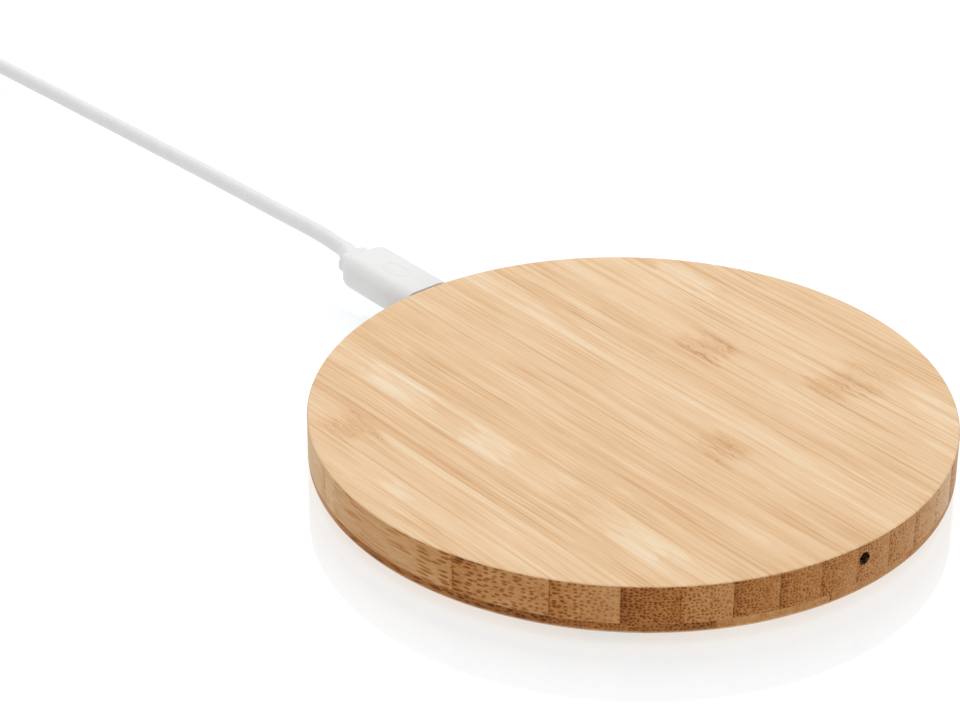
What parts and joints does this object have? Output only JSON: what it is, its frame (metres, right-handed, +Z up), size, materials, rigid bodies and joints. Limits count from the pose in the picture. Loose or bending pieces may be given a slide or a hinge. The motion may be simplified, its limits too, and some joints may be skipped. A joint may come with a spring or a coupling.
{
  "type": "wireless charging pad",
  "caption": "Round bamboo wireless charging pad: flat top, light hole in the rim, soft feet, flat coil and ring board inside, and a plug-in USB lead wound in a tied coil.",
  "frame": {"origin": "centre of the pad's footprint, on the surface that its feet stand on", "axes": "+Z up through the charging face; +Y out of the USB port, along the bamboo grain; the light hole is at -Y"},
  "size_m": [0.1, 0.2837, 0.01],
  "materials": {
    "bamboo": "planed bamboo strips under a thin matt varnish",
    "silicone": "soft matt silicone",
    "screw_steel": "zinc-plated",
    "board_laminate": "green solder mask",
    "foam": "closed-cell foam",
    "chip_resin": "moulded epoxy",
    "ceramic_body": "fired ceramic",
    "ferrite": "sintered ferrite",
    "clear_resin": "dark smoked cast resin",
    "tinned_wire": "tinned copper",
    "film": "adhesive film",
    "copper_wire": "enamelled copper",
    "sensor_bead": "epoxy-dipped bead",
    "connector_steel": "nickel-plated",
    "connector_resin": "moulded resin",
    "white_resin": "moulded resin",
    "contact_gold": "gold-flashed",
    "white_moulding": "soft satin moulding",
    "white_jacket": "smooth satin jacket",
    "tie_strip": "plastic-covered twist tie"
  },
  "bodies": {
    "pad": {"top_shell": "bamboo", "base_plate": "bamboo", "base_screws": "screw_steel", "foot_1": "silicone", "foot_2": "silicone", "foot_3": "silicone", "foot_4": "silicone", "circuit_board": "board_laminate", "board_tape": "foam", "controller_ic": "chip_resin", "protection_ic": "chip_resin", "mosfet_1": "chip_resin", "mosfet_2": "chip_resin", "mosfet_3": "chip_resin", "mosfet_4": "chip_resin", "resonant_capacitor_1": "ceramic_body", "resonant_capacitor_2": "ceramic_body", "resonant_capacitor_3": "ceramic_body", "resonant_capacitor_4": "ceramic_body", "input_capacitor_1": "ceramic_body", "input_capacitor_2": "ceramic_body", "input_choke": "ferrite", "chip_resistors": "chip_resin", "chip_capacitors": "ceramic_body", "indicator_led": "clear_resin", "led_wires": "tinned_wire", "coil_foam": "foam", "ferrite_disc": "ferrite", "coil_film": "film", "transmit_coil": "copper_wire", "coil_leads": "copper_wire", "temperature_sensor": "sensor_bead", "sensor_wires": "tinned_wire", "port_shell": "connector_steel", "port_tongue": "connector_resin", "port_contacts": "contact_gold"},
    "lead": {"plug_overmold": "white_moulding", "plug_shell": "connector_steel", "plug_insulator": "connector_resin", "plug_contacts": "contact_gold", "plug_latches": "connector_steel", "cord_tube": "white_jacket", "cord_coil": "white_jacket", "cord_tie": "tie_strip", "cord_tail": "white_jacket", "host_overmold": "white_moulding", "host_strain_relief": "white_moulding", "host_shell": "connector_steel", "host_tongue": "white_resin", "host_contacts": "contact_gold"}
  },
  "joints": [
    {"name": "plug_pull", "type": "slide", "parent": "pad", "child": "lead", "axis": [0, 1, 0], "range_m": [0, 0.008]}
  ]
}
